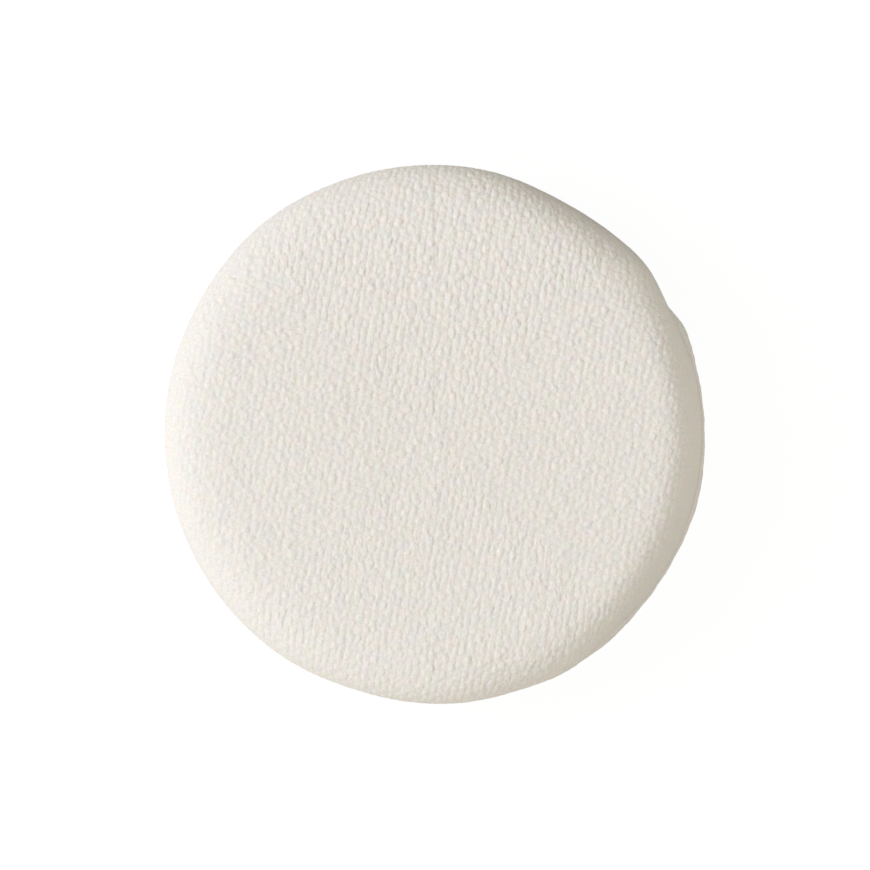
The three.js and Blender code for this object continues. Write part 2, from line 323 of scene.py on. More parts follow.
def over_rings(move, rings):
    """A move of each point of the fill's grid, carried over to a grid of more rings.

    On each ring the move outwards, round and up is kept as waves of up to FILL_WAVES crests."""
    ring, angle = disc_grid(FILL_RINGS)
    spin = np.exp(1j * angle)
    level_move = (move[..., 0] + 1j * move[..., 1]) / spin
    fine_ring, fine_angle = disc_grid(rings)
    fine_spin = np.exp(1j * fine_angle)
    where = fine_ring * (FILL_RINGS / rings)
    count = np.bincount(ring.ravel())
    total = [np.zeros(where.shape, complex), np.zeros(where.shape, complex)]
    for crests in range(-FILL_WAVES, FILL_WAVES + 1):
        for index, field in enumerate((level_move, move[..., 2])):
            turned = (field * spin**-crests).ravel()
            real, imaginary = (np.bincount(ring.ravel(), part) for part in (turned.real, turned.imag))
            mean = (real + 1j * imaginary) / count
            mean[0] *= crests == 0 and index == 1
            total[index] += smooth_steps(mean, where) * fine_spin**crests
    level_move = total[0] * fine_spin
    return np.stack([level_move.real, level_move.imag, total[1].real], -1)


def set_cloth_map(piece, flat):
    """Keeps each point's place on the flat cloth, in millimetres, as the piece's UV map."""
    corners = np.zeros(len(piece.data.loops), np.int32)
    piece.data.loops.foreach_get("vertex_index", corners)
    spread = np.zeros((len(piece.data.vertices), 2), np.float32)
    spread[: len(flat)] = flat / MM
    layer = piece.data.uv_layers.new(name="cloth")
    layer.data.foreach_set("uv", spread[corners].ravel())


def set_value(piece, name, values):
    """Keeps one number per point as an attribute for the material. Points past the last value get 0."""
    spread = np.zeros(len(piece.data.vertices), np.float32)
    spread[: len(values)] = values
    piece.data.attributes.new(name, "FLOAT", "POINT").data.foreach_set("value", spread)


# The rim is closed by hand on the right of the photograph. There the front's face ends sooner, a smooth
# straight wall leans out to the crease, and the back swells past it, with a small corner at each end.
FRONT_BUMPS = (
    (14, 9, 0.50 * MM),
    (38, 8, 0.40 * MM),
    (63, 11, -0.34 * MM),
    (130, 14, 0.28 * MM),
    (252, 10, -0.28 * MM),
    (278, 9, 0.16 * MM),
    (303, 11, 0.68 * MM),
    (320, 8, 0.35 * MM),
)
CLOSED_BY_HAND = (-50, 27)
CLOSED_SOFT = 30
CLOSED_FLATNESS = 22
CLOSED_WIDEST = 35.95 * MM
CLOSED_SLOPE = 2.2
CLOSED_CREASE_OUT = 1.1 * MM
EDGE_DIPS = ((56, 16, 2.6 * MM), (114, 18, -0.8 * MM), (256, 22, -0.8 * MM), (308, 18, 2.4 * MM))
EDGE_POWER = 8
STITCH_COUNT = 54
CREASE_PULL = 0.14 * MM
CREASE_PULL_REACH = 1.6 * MM
PILE_PRESSED = 1.6 * MM
PILE_ON_EDGE = 0.35
WALL_PRESSED = 6.0 * MM
WALL_PRESSED_STRETCH = (-50, 72)
WALL_PILE = 0.12
# The pile value is raised along the radius: colour lighter 27 to 32 mm out, darker towards the middle.
LIGHTER_RING = ((14 * MM, 27 * MM, 32 * MM, 37 * MM), (0, 0.45, 0.45, 0.05))


def stitch_pull(angle):
    """How far the seam's crease is drawn in at an angle: a cosine wave with a crest at each stitch."""
    return CREASE_PULL * (0.5 + 0.5 * np.cos(STITCH_COUNT * angle))


def edge_moved(radius, tucked, left, angle, widest_wave, crease_wave):
    """Radius of a lobe with the waves of its edge, where left is the length of cloth on to the crease.

    The wave of the widest line grows with a high power of the radius, and passes into the wave of the crease
    round the tuck. Each stitch's pull on the crease fades out over its reach."""
    near_edge = (radius / puff_radius) ** EDGE_POWER
    wave = widest_wave(angle) * near_edge * (1 - tucked**2) + crease_wave(angle) * tucked**2
    return radius + wave - stitch_pull(angle) * np.exp(-left / CREASE_PULL_REACH)


def lobe_skin(rings, line, widest_wave, crease_wave):
    """A lobe's bare skin about z = 0 at its widest line, from its half section and the waves of its edge.

    Returns the skin, its normals, its places on flat cloth, and how far its pile stands, from 0 to 1."""
    ring, angle = disc_grid(rings)
    radius, height, out, up, tucked = (part[ring] for part in line[:5])
    along = ring / rings * line[5]
    radius = edge_moved(radius, tucked, line[5] - along, angle, widest_wave, crease_wave)
    skin = np.stack([radius * np.cos(angle), radius * np.sin(angle), height], -1)
    normal = np.stack([out * np.cos(angle), out * np.sin(angle), up], -1)
    flat = np.stack([along * np.cos(angle), along * np.sin(angle)], -1)
    upright = PILE_ON_EDGE + (1 - PILE_ON_EDGE) * np.abs(up)
    return skin, normal, flat, upright * np.clip((line[5] - along) / PILE_PRESSED, 0, 1)


def closed_line(crown, tuck, count):
    """The front's half section where the rim is closed by hand: radius and height at equal lengths of cloth.

    The face follows (radius / widest)^flatness + (height / crown)^2 = 1 until it is as steep as
    CLOSED_SLOPE, and goes on as a straight wall to the crease."""
    angle = np.pi / 2 * np.linspace(0, 1, FACE_STEPS) ** (CLOSED_FLATNESS / 2)
    radius, height = CLOSED_WIDEST * np.sin(angle) ** (2 / CLOSED_FLATNESS), crown * np.cos(angle)
    gentle = -np.gradient(height) < CLOSED_SLOPE * np.gradient(radius)
    radius = np.r_[radius[gentle], crease_radius + CLOSED_CREASE_OUT]
    height = np.r_[height[gentle], -tuck]
    length = np.r_[0, np.cumsum(np.hypot(np.diff(radius), np.diff(height)))]
    even = np.linspace(0, length[-1], count)
    return np.interp(even, length, radius), np.interp(even, length, height)


def front_wave(angle):
    """How far the front's widest line lies out of its circle: the sum of its bumps."""
    return edge_wave(angle, FRONT_BUMPS)


def front_skin_of(rings):
    """The front panel's bare skin before it is filled, as lobe_skin gives it, but with an edge that varies.

    The widest line dips or rises where the seam pulls the shoulder down or lets it go. The hand-closed
    stretch has a section of its own, which passes into the other one at both ends, and pressed pile."""
    crown = front_high[2] - front_widest - PILE_DEPTH - FRONT_SWELL
    tuck = front_widest - front_seam
    line = lobe_line(puff_radius - PILE_DEPTH, crown, FRONT_FLATNESS, 0, tuck, SEAM_DRAW_IN, rings + 1)
    skin, normal, flat, stand = lobe_skin(rings, line, front_wave, np.zeros_like)
    ring, angle = disc_grid(rings)
    share = np.clip(line[0][ring] / (puff_radius - PILE_DEPTH), 0, 1) ** FRONT_FLATNESS
    dip = edge_wave(angle, EDGE_DIPS)
    skin[..., 2] -= dip * np.where(line[4][ring] > 0, 1 + skin[..., 2] / tuck, share**2)
    radius, height = (part[ring] for part in closed_line(crown, tuck, rings + 1))
    closed = np.stack([radius * np.cos(angle), radius * np.sin(angle), height], -1)
    skin += between(angle, *CLOSED_BY_HAND, CLOSED_SOFT)[..., None] * (closed - skin)
    left = (1 - ring / rings) * line[5]
    pressed = WALL_PRESSED * between(angle, *WALL_PRESSED_STRETCH, CLOSED_SOFT)
    stand *= WALL_PILE + (1 - WALL_PILE) * np.clip((left - pressed) / PILE_PRESSED, 0, 1)
    return skin, normal, flat, stand


crease_radius = puff_radius - SEAM_DRAW_IN
seam_height = (front_low[2] + back_high[2]) / 2
front_seam = seam_height + SEAM_GAP
front_skin, front_normal, front_flat, front_stand = front_skin_of(FRONT_RINGS)
front_skin = front_skin + over_rings(held_fill(front_skin_of(FILL_RINGS)[0]), FRONT_RINGS)
front_x, front_y = front_flat[..., 0], front_flat[..., 1]
front_skin[..., 2] += UNEVEN_FILL * noise(front_x, front_y, UNEVEN_PATCH, UNEVEN_SEED) * front_stand
front_pile = pile_height(front_x, front_y)
front_skin = front_skin + (PILE_DEPTH * front_pile * front_stand)[..., None] * front_normal
front_skin[..., 2] += front_widest

SEAM_FACE_STEPS = (1 * MM, 3 * MM, ALLOWANCE)
WALL_POINTS = 60
WALL_ROW_STEP = 5


def panel_rim(seam, pressed, wall_radius, wall_height):
    """Rings of a panel's hidden side, as (in from the edge, height): seam face, cut edge and inner wall."""
    rim = [(inset, seam) for inset in SEAM_FACE_STEPS]
    rim += [(inset, seam + pressed) for inset in SEAM_FACE_STEPS[::-1]]
    return rim + [(crease_radius - radius, height) for radius, height in zip(wall_radius, wall_height)]


wall_reach = puff_radius - 2 * WALL
front_wall_crown = front_high[2] - front_widest - WALL - FRONT_SWELL
front_wall = lobe_line(wall_reach, front_wall_crown, FRONT_FLATNESS, 0, MM, MM, WALL_POINTS)
wall_rows = [row for row in range(WALL_POINTS - 1, 0, -WALL_ROW_STEP) if front_wall[4][row] == 0]
front_panel = cloth_panel(
    "front_velour",
    front_skin,
    panel_rim(front_seam, PRESSED_WALL, front_wall[0][wall_rows], front_widest + front_wall[1][wall_rows]),
    front_widest + front_wall[1][0],
    False,
)
set_cloth_map(front_panel, front_flat.reshape(-1, 2))
# Colour tone by radius, lighter in a ring 27 to 32 mm out and darker towards the middle.
front_lighter_ring = np.interp(np.hypot(front_x, front_y), *LIGHTER_RING)
set_value(front_panel, "pile", (front_pile * front_stand + front_lighter_ring).ravel())


class Shade:
    """A socket of one node tree as a value. Arithmetic adds Math nodes, and add() adds any other node."""

    def __init__(self, tree, socket=None):
        self.tree = tree
        self.socket = socket

    def add(self, kind, settings=None, sockets=None, output=0):
        """A node of that type, with its settings made first and its sockets given values or links."""
        node = self.tree.nodes.new(kind)
        for name, value in (settings or {}).items():
            if name == "stops":
                ramp = node.color_ramp
                while len(ramp.elements) < len(value):
                    ramp.elements.new(1)
                for element, (place, colour) in zip(ramp.elements, value):
                    element.position = place
                    element.color = (*colour, 1)
            else:
                setattr(node, name, value)
        for key, value in (sockets or {}).items():
            if isinstance(value, Shade):
                self.tree.links.new(value.socket, node.inputs[key])
            else:
                node.inputs[key].default_value = value
        return Shade(self.tree, node.outputs[output]) if node.outputs else None

    def _math(self, operation, first, second):
        return self.add("ShaderNodeMath", {"operation": operation}, {0: first, 1: second})

    def __add__(self, other):
        return self._math("ADD", self, other)

    def __radd__(self, other):
        return self._math("ADD", other, self)

    def __sub__(self, other):
        return self._math("SUBTRACT", self, other)

    def __rsub__(self, other):
        return self._math("SUBTRACT", other, self)

    def __mul__(self, other):
        return self._math("MULTIPLY", self, other)

    def __rmul__(self, other):
        return self._math("MULTIPLY", other, self)

    def mix(self, low, high):
        """The colour low where this value is 0, and high where it is 1."""
        low, high = ((*c, 1) if isinstance(c, tuple) else c for c in (low, high))
        return self.add("ShaderNodeMix", {"data_type": "RGBA"}, {0: self, 6: low, 7: high}, 2)


def new_material(name):
    """An empty material, and a Shade to build it with."""
    material = bpy.data.materials.new(name)
    material.use_nodes = True
    material.node_tree.nodes.clear()
    return material, Shade(material.node_tree)


VELOUR_TIP = (0.842, 0.797, 0.768)
VELOUR_ROSE = (0.872, 0.789, 0.780)
VELOUR_GREEN = (0.812, 0.809, 0.760)
VELOUR_PIT_SHADE = (0.640, 0.590, 0.545)
VELOUR_COOL = (0.950, 0.960, 1.062)
VELOUR_PILE_SHOWN = 0.45
VELOUR_FIBRE_SHOWN = 5.6
VELOUR_GRAIN_SHADE_RANGE = (1.2, -1.4)
VELOUR_PIT_SHADE_SHARE = 0.62


def velour_material():
    """Cream velour: pale tips, painted shade between the tufts, warmer and darker, and faint patches of warm
    and cool tint.
    """
    material, shade = new_material("velour")
    cloth = shade.add("ShaderNodeUVMap", {"uv_map": "cloth"})
    pile = shade.add("ShaderNodeAttribute", {"attribute_name": "pile"}, None, 2)
    rows = shade.add(
        "ShaderNodeMapping", None, {"Vector": cloth, "Rotation": (0, 0, WALE_LEAN), "Scale": (1, 0.88, 1)}
    )
    patch = shade.add("ShaderNodeTexNoise", None, {"Vector": cloth, "Scale": 0.6, "Detail": 3.0})
    aside = shade.add("ShaderNodeMapping", None, {"Vector": cloth, "Location": (70, 40, 0)})
    cool = shade.add("ShaderNodeTexNoise", None, {"Vector": aside, "Scale": 0.5, "Detail": 3.0})
    cool = shade.add("ShaderNodeMapRange", None, {0: cool, 1: 0.28, 2: 0.72, 3: 0.0, 4: 1.0})
    fibre = shade.add(
        "ShaderNodeTexNoise", None, {"Vector": rows, "Scale": 3.0, "Detail": 2.5, "Roughness": 0.7}
    )
    tint = shade.add(
        "ShaderNodeValToRGB",
        {"stops": ((0.32, VELOUR_GREEN), (0.50, VELOUR_TIP), (0.68, VELOUR_ROSE))},
        {0: patch},
    )
    cooled = shade.add(
        "ShaderNodeMix",
        {"data_type": "RGBA", "blend_type": "MULTIPLY"},
        {0: cool, 6: tint, 7: (*VELOUR_COOL, 1)},
        2,
    )
    # Painted shade: the colour goes warmer and darker where the pile sinks between tufts, with random fibre
    # grain.
    standing = pile * VELOUR_PILE_SHOWN + (fibre - 0.5) * VELOUR_FIBRE_SHOWN
    grain_and_pit_shade = shade.add(
        "ShaderNodeMapRange", None, {0: standing, 1: VELOUR_GRAIN_SHADE_RANGE[0], 2: VELOUR_GRAIN_SHADE_RANGE[1], 3: 0.0, 4: 1.0}
    )
    bump = shade.add("ShaderNodeBump", None, {"Strength": 1.0, "Distance": 0.08 * MM, "Height": fibre})
    surface = shade.add(
        "ShaderNodeBsdfPrincipled",
        None,
        {
            "Base Color": (grain_and_pit_shade * VELOUR_PIT_SHADE_SHARE).mix(cooled, VELOUR_PIT_SHADE),
            "Roughness": 0.95,
            "Specular IOR Level": 0.15,
            "Sheen Weight": 0.10,
            "Sheen Roughness": 0.45,
            "Sheen Tint": (1.0, 0.97, 0.92, 1),
            "Normal": bump,
        },
    )
    shade.add("ShaderNodeOutputMaterial", None, {"Surface": surface})
    return material


velour = velour_material()
front_panel.data.materials.append(velour)
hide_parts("front_panel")
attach(front_panel, "puff")

# Back panel: the same velour, cut and turned with the front. It lies flat under the puff's weight, and the
# finger ribbon presses a shallow bed into its pile, from one side of the seam to the other.
BACK_TUCK = 1.6 * MM
BACK_FLATNESS = 7
BACK_RINGS = 160
REST_FLAT = 0.5 * MM
RIBBON_WIDTH = 22 * MM
RIBBON_THICKNESS = 0.35 * MM
BED_DEPTH = 0.5 * MM
BED_SOFT = 0.9 * MM
BACK_INSIDE = 0.4 * MM
BACK_SWELL = 0.78 * MM
BACK_SWELL_ENDS = (-10, -1)
BACK_SWELL_SOFT = 9
BACK_PILE_TOP = 0.05 * MM
BACK_PILE_SHIFT = 90 * MM
BED_MARGIN = 0.35 * MM
BED_PRESSED = 0.7
BACK_BUMPS = ((346, 10, 0.30 * MM), (23, 7, 0.36 * MM), (309, 9, 0.20 * MM), (323, 10, -0.12 * MM))

back_widest = back_high[2] - BACK_TUCK
back_seam = seam_height - SEAM_GAP


def ribbon_bed(x):
    """How deep the ribbon's bed is at a distance from its middle line: level, with S-shaped sides."""
    share = np.clip((RIBBON_WIDTH / 2 + BED_MARGIN + BED_SOFT - np.abs(x)) / BED_SOFT, 0, 1)
    return BED_DEPTH * share * share * (3 - 2 * share)


def back_wave(angle):
    """How far the back's widest line lies out of its circle: bumps, an inset, and a hand-closed swell."""
    start, end = (place + move for place, move in zip(CLOSED_BY_HAND, BACK_SWELL_ENDS))
    swell = BACK_SWELL * between(angle, start, end, BACK_SWELL_SOFT)
    return edge_wave(angle, BACK_BUMPS) - BACK_INSIDE + swell


def back_crease_wave(angle):
    """How far the back's side of the crease lies out of its circle: out along the hand-closed stretch."""
    return CLOSED_CREASE_OUT * between(angle, *CLOSED_BY_HAND, CLOSED_SOFT)


def back_line(count):
    """Half section of the back: a lobe that is pressed level by what it rests on."""
    crown = back_widest - back_low[2] + REST_FLAT
    return lobe_line(
        puff_radius, crown, BACK_FLATNESS, REST_FLAT, back_seam - back_widest, SEAM_DRAW_IN, count
    )


back_skin, back_normal, back_flat, back_stand = lobe_skin(
    BACK_RINGS, back_line(BACK_RINGS + 1), back_wave, back_crease_wave
)
back_pile = pile_height(back_flat[..., 0] + BACK_PILE_SHIFT, back_flat[..., 1])
bed = ribbon_bed(back_skin[..., 0])
back_lift = np.clip(PILE_DEPTH * back_pile * back_stand, -1, BACK_PILE_TOP)
back_lift = back_lift * (1 - BED_PRESSED * bed / BED_DEPTH) - bed - BACK_PILE_TOP
back_skin = back_skin + back_lift[..., None] * back_normal
back_skin[..., 2] = back_widest - back_skin[..., 2]
back_edge_x = back_skin.reshape(-1, 3)[disc_faces(BACK_RINGS)[1], 0]
back_wall_crown = back_widest - back_low[2] - WALL
back_wall = lobe_line(wall_reach, back_wall_crown, BACK_FLATNESS, 0, MM, MM, WALL_POINTS)
back_panel = cloth_panel(
    "back_velour",
    back_skin,
    panel_rim(
        back_seam - ribbon_bed(back_edge_x),
        -PRESSED_WALL,
        back_wall[0][wall_rows],
        back_widest - back_wall[1][wall_rows],
    ),
    back_widest - back_wall[1][0],
    True,
)
set_cloth_map(back_panel, back_flat.reshape(-1, 2))
set_value(back_panel, "pile", (back_pile * back_stand).ravel())
back_panel.data.materials.append(velour)
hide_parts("back_panel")
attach(back_panel, "puff")

# Finger ribbon: a band of cream satin across the back, its ends caught in the seam between the allowances.
# It is two halves that meet in the middle.
RIBBON_TAIL = 5 * MM
TAIL_POINTS = 24
NEXT_TO_MIDDLE = 0.02
RIBBON_SUNK = 0.05 * MM
RIBBON_ROWS = 220
RIBBON_COLUMNS = 90
RIBBON_FLAT = 27 * MM
RIBBON_RIPPLE = 0.03 * MM
RIPPLE_ACROSS = 5 * MM
RIPPLE_ALONG = 7 * MM
RIPPLE_SWING = 1.6
SELVEDGE = 0.9 * MM
SELVEDGE_GROOVE = 0.05 * MM
SELVEDGE_GROOVE_WIDTH = 0.2 * MM


def ribbon_half(name, side):
    """Half a ribbon, from the middle of the back to the end of its tail on the +Y side, or -Y for side -1.

    It follows the back's half section and then the seam inwards. Each row's points lie on the circle of
    their own radius about the puff's axis, or on the flat on a share of the circle at the flat's edge."""
    line = back_line(RIBBON_ROWS)
    tail = np.linspace(0, RIBBON_TAIL, TAIL_POINTS)[1:]
    still = np.ones_like(tail)
    ends = (crease_radius - tail, line[1][-1] * still, 0 * tail, -still, still, line[5] + tail)
    parts = (*line[:5], np.linspace(0, line[5], RIBBON_ROWS))
    nexts = [part[0] + NEXT_TO_MIDDLE * (part[1] - part[0]) for part in parts]
    parts = [np.r_[part[0], second, part[1:], end] for part, second, end in zip(parts, nexts, ends)]
    radius, height, out, up, tucked, along = (part[:, None] for part in parts)
    across = np.linspace(-RIBBON_WIDTH / 2, RIBBON_WIDTH / 2, RIBBON_COLUMNS)[None, :]
    arc = np.maximum(radius, RIBBON_FLAT)
    angle = np.arctan2(side * np.sqrt(arc**2 - across**2), across)
    left = np.clip(line[5] - along, 0, None)
    moved = arc + edge_moved(radius, tucked, left, angle, back_wave, back_crease_wave) - radius
    y = side * radius / arc * np.sqrt(moved**2 - across**2)
    x = np.broadcast_to(across, y.shape)
    z = np.broadcast_to(back_widest - height, y.shape)
    normal = np.stack([out * x / moved, out * y / moved, np.broadcast_to(-up, y.shape)], -1)
    ripple = RIBBON_RIPPLE * np.sin(x / RIPPLE_ACROSS + RIPPLE_SWING * np.sin(along * side / RIPPLE_ALONG))
    from_groove = (RIBBON_WIDTH / 2 - np.abs(x) - SELVEDGE) / SELVEDGE_GROOVE_WIDTH
    groove = SELVEDGE_GROOVE * np.exp(-(from_groove**2))
    middle = np.stack([x, y, z], -1) - (RIBBON_SUNK + RIBBON_THICKNESS / 2 + ripple)[..., None] * normal
    outer = middle + (RIBBON_THICKNESS / 2 - groove)[..., None] * normal
    inner = middle - (RIBBON_THICKNESS / 2 - groove)[..., None] * normal
    rows, columns = y.shape
    top = np.arange(rows * columns).reshape(rows, columns)
    low = top + rows * columns
    faces, smooth = [], [True, True, False, False, False, False]
    for a, b in ((top, None), (low[:, ::-1], None), (top[:, 0], low[:, 0]), (low[:, -1], top[:, -1])):
        grid = a if b is None else np.stack([b, a], -1)
        quads = np.stack([grid[:-1, :-1], grid[1:, :-1], grid[1:, 1:], grid[:-1, 1:]], -1)
        faces.append(quads.reshape(-1, 4))
    for a, b in ((top[0], low[0]), (low[-1], top[-1])):
        faces.append(np.stack([a[:-1], a[1:], b[1:], b[:-1]], -1))
    half = add_mesh(name, np.concatenate([outer, inner]).reshape(-1, 3), faces, side < 0, smooth)
    spread = np.stack([x, np.broadcast_to(along * side, y.shape)], -1).reshape(-1, 2)
    set_cloth_map(half, np.concatenate([spread, spread]))
    return half, along[-1, 0]


SATIN = (0.78, 0.715, 0.63)
SATIN_PAINTED_SHEEN = (0.88, 0.825, 0.745)
SATIN_EDGE = (0.72, 0.65, 0.56)
SELVEDGE_SOFT = 0.1


def satin_material():
    """Cream satin: fine floats along the ribbon, brighter in streaks of painted sheen, and a closer, duller
    weave in the two selvedges.
    """
    material, shade = new_material("satin")
    cloth = shade.add("ShaderNodeUVMap", {"uv_map": "cloth"})
    floats = shade.add("ShaderNodeMapping", None, {"Vector": cloth, "Scale": (7.0, 0.7, 1)})
    floats = shade.add("ShaderNodeTexNoise", None, {"Vector": floats, "Scale": 1.0, "Detail": 3.0})
    across = shade.add("ShaderNodeSeparateXYZ", None, {0: cloth}, 0)
    across = shade.add("ShaderNodeMath", {"operation": "ABSOLUTE"}, {0: across})
    inside = (RIBBON_WIDTH / 2 - SELVEDGE) / MM
    edge = shade.add(
        "ShaderNodeMapRange", None, {0: across, 1: inside - SELVEDGE_SOFT, 2: inside + SELVEDGE_SOFT}
    )
    bump = shade.add("ShaderNodeBump", None, {"Strength": 0.8, "Distance": 0.03 * MM, "Height": floats})
    # The pale streaks along the floats are painted sheen.
    surface = shade.add(
        "ShaderNodeBsdfPrincipled",
        None,
        {
            "Base Color": edge.mix(floats.mix(SATIN, SATIN_PAINTED_SHEEN), SATIN_EDGE),
            "Roughness": 0.34 + edge * 0.2 + floats * 0.1,
            "Specular IOR Level": 0.55,
            "Sheen Weight": 0.2,
            "Sheen Roughness": 0.3,
            "Anisotropic": 0.5,
            "Normal": bump,
        },
    )
    shade.add("ShaderNodeOutputMaterial", None, {"Surface": surface})
    return material


satin = satin_material()
for ribbon_name, side in (("finger_ribbon_north", 1), ("finger_ribbon_south", -1)):
    ribbon, ribbon_length = ribbon_half(ribbon_name, side)
    ribbon.data.materials.append(satin)
    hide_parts("finger_ribbon")
    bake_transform(ribbon)

# Foam core: a soft open-celled disc, die cut a little full for its cover, so that it fills both lobes. Its
# rim is notched by the allowances and threads that press into it.
FOAM_GAP = 0.35 * MM
FOAM_POINTS = 150
FOAM_SIDES = 240
FOAM_ROUND = 5
FOAM_STEPS = 200
NOTCH_GAP = 0.7 * MM


def foam_outline():
    """Half section of the foam: two lobe lines and a square notch between, smoothed by a bell of weights."""
    radius = wall_reach - FOAM_GAP
    below = lobe_line(radius, back_wall_crown - FOAM_GAP, BACK_FLATNESS, 0, MM, MM, FOAM_STEPS)
    above = lobe_line(radius, front_wall_crown - FOAM_GAP, FRONT_FLATNESS, 0, MM, MM, FOAM_STEPS)
    under, over = below[4] == 0, above[4] == 0
    low = np.stack([below[0][under], back_widest - below[1][under]], -1)
    high = np.stack([above[0][over], front_widest + above[1][over]], -1)
    notch_low = back_seam - PRESSED_WALL - NOTCH_GAP
    notch_high = front_seam + PRESSED_WALL + NOTCH_GAP
    inside = crease_radius - ALLOWANCE - FOAM_GAP
    low, high = low[low[:, 1] < notch_low], high[high[:, 1] > notch_high]
    notch = [[low[-1, 0], notch_low], [inside, notch_low], [inside, notch_high], [high[-1, 0], notch_high]]
    outline = np.concatenate([low, notch, high[::-1]])
    length = np.r_[0, np.cumsum(np.hypot(*np.diff(outline, axis=0).T))]
    even = np.linspace(0, length[-1], FOAM_POINTS)
    outline = np.stack([np.interp(even, length, part) for part in outline.T], -1)
    past_low, past_high = outline[FOAM_ROUND:0:-1] * (-1, 1), outline[-2 : -FOAM_ROUND - 2 : -1] * (-1, 1)
    mirrored = np.concatenate([past_low, outline, past_high])
    weight = np.hanning(2 * FOAM_ROUND + 3)[1:-1]
    weight /= weight.sum()
    return np.stack([np.convolve(part, weight, "valid") for part in mirrored.T], -1)


foam_line = foam_outline()
foam_turn = np.linspace(0, 2 * np.pi, FOAM_SIDES, endpoint=False)
foam_reach, foam_level = (np.repeat(part[1:-1, None], FOAM_SIDES, 1) for part in foam_line.T)
foam_rings = np.stack([foam_reach * np.cos(foam_turn), foam_reach * np.sin(foam_turn), foam_level], -1)
foam_index = np.arange(foam_level.size).reshape(foam_level.shape)
foam_after = np.roll(foam_index, -1, axis=1)
foam_poles = np.full((2, FOAM_SIDES), foam_index.size) + [[0], [1]]
foam_core = add_mesh(
    "foam_disc",
    np.concatenate([foam_rings.reshape(-1, 3), [[0, 0, foam_line[0, 1]], [0, 0, foam_line[-1, 1]]]]),
    [
        np.stack([foam_index[:-1], foam_after[:-1], foam_after[1:], foam_index[1:]], -1).reshape(-1, 4),
        np.stack([foam_after[0], foam_index[0], foam_poles[0]], -1),
        np.stack([foam_index[-1], foam_after[-1], foam_poles[1]], -1),
    ],
)
# The pores are painted darker: painted shade in the foam's open cells.
FOAM_PALE = (0.87, 0.82, 0.70)
FOAM_PORE_SHADE = (0.42, 0.37, 0.27)
foam, foam_shade = new_material("open_cell_foam")
foam_place = foam_shade.add("ShaderNodeTexCoord", None, None, 3)
cells = foam_shade.add("ShaderNodeTexVoronoi", None, {"Vector": foam_place, "Scale": 1700.0})
pores = foam_shade.add("ShaderNodeMapRange", None, {0: cells, 1: 0.32, 2: 0.12, 3: 0.0, 4: 1.0})
foam_bump = foam_shade.add(
    "ShaderNodeBump", {"invert": True}, {"Strength": 0.8, "Distance": 0.15 * MM, "Height": pores}
)
foam_surface = foam_shade.add(
    "ShaderNodeBsdfPrincipled",
    None,
    {
        "Base Color": pores.mix(FOAM_PALE, FOAM_PORE_SHADE),
        "Roughness": 0.9,
        "Specular IOR Level": 0.2,
        "Normal": foam_bump,
    },
)
foam_shade.add("ShaderNodeOutputMaterial", None, {"Surface": foam_surface})
foam_core.data.materials.append(foam)
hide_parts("foam_core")
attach(foam_core, "puff")

# Sewing threads: spun cotton of three plies. The needle and bobbin threads lock in every hole of the seam,
# and the closing thread ladders from fold to fold over the gap that the puff was turned through.
STITCH_INSET = 1.9 * MM
THREAD_RADIUS = 0.15 * MM
THREAD_GAP = 0.08 * MM
THREAD_SIDES = 12
THREAD_STEP = 0.16 * MM
PLY_LENGTH = 1.1 * MM
PLY_DEPTH = 0.16
THREAD_LEAN = (0.6, 0.5, 0.62)
CLOSING_HOLES = (-8, 4)

loop_reach = 2 * THREAD_RADIUS + THREAD_GAP
needle_top = front_seam + PRESSED_WALL + THREAD_GAP + THREAD_RADIUS
bobbin_low = back_seam - PRESSED_WALL - THREAD_GAP - THREAD_RADIUS


def stitch_points(holes, steps):
    """Points of a thread at each hole in turn, from steps of (along the seam, outwards, height)."""
    turn = np.asarray(holes)[:, None] * (2 * np.pi / STITCH_COUNT)
    along, out, height = np.asarray(steps, float).T
    radius = crease_radius - STITCH_INSET + out
    x, y = radius * np.cos(turn) - along * np.sin(turn), radius * np.sin(turn) + along * np.cos(turn)
    return np.stack([x, y, np.broadcast_to(height, x.shape)], -1).reshape(-1, 3)


